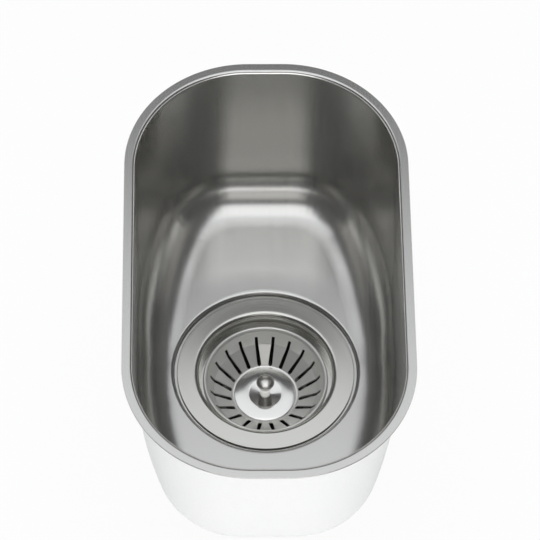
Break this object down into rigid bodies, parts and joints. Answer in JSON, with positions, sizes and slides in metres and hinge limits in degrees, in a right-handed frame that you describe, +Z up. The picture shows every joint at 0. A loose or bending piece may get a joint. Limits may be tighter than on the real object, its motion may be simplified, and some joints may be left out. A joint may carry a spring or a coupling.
{
  "type": "undermount kitchen sink",
  "caption": "Pressed stainless steel undermount bowl with a flat rim, rounded mouth, oval floor and a lift-out slotted basket waste with a pull-up plug.",
  "frame": {"origin": "middle of the mouth on the rim's top face, which meets the worktop's underside", "axes": "+X across the mouth to the right, +Y along it from the front to the back, +Z up out of the bowl"},
  "size_m": [0.178, 0.304, 0.2084],
  "materials": {
    "bowl_steel": "fine satin brushed",
    "waste_steel": "bright satin",
    "basket_steel": "bright pressed",
    "polished_steel": "mirror polished",
    "knob_steel": "satin turned",
    "bolt_steel": "plain",
    "insert_brass": "plain turned",
    "moulded_plastic": "fine moulded grain",
    "bush_plastic": "smooth moulded",
    "gasket_rubber": "matt",
    "damping_pad": "matt sheet"
  },
  "bodies": {
    "sink": {"bowl": "bowl_steel", "front_sound_pad": "damping_pad", "rear_sound_pad": "damping_pad", "flange_gasket": "gasket_rubber", "strainer_cup": "waste_steel", "lower_gasket": "gasket_rubber", "waste_body": "moulded_plastic", "clamp_bolt": "bolt_steel", "bolt_washer": "bolt_steel", "insert_nut": "insert_brass"},
    "basket": {"basket": "basket_steel", "centre_cap": "polished_steel", "guide_bush": "bush_plastic", "grip_ring": "gasket_rubber"},
    "plug": {"pull_knob": "knob_steel", "stem": "knob_steel", "plug_plate": "bolt_steel", "plug_seal": "gasket_rubber", "plug_washer": "bolt_steel", "stem_nut": "bolt_steel"}
  },
  "joints": [
    {"name": "basket_lift", "type": "slide", "parent": "sink", "child": "basket", "axis": [0, 0, 1], "range_m": [0, 0.17]},
    {"name": "plug_lift", "type": "slide", "parent": "basket", "child": "plug", "axis": [0, 0, 1], "range_m": [-0.007, 0]}
  ]
}
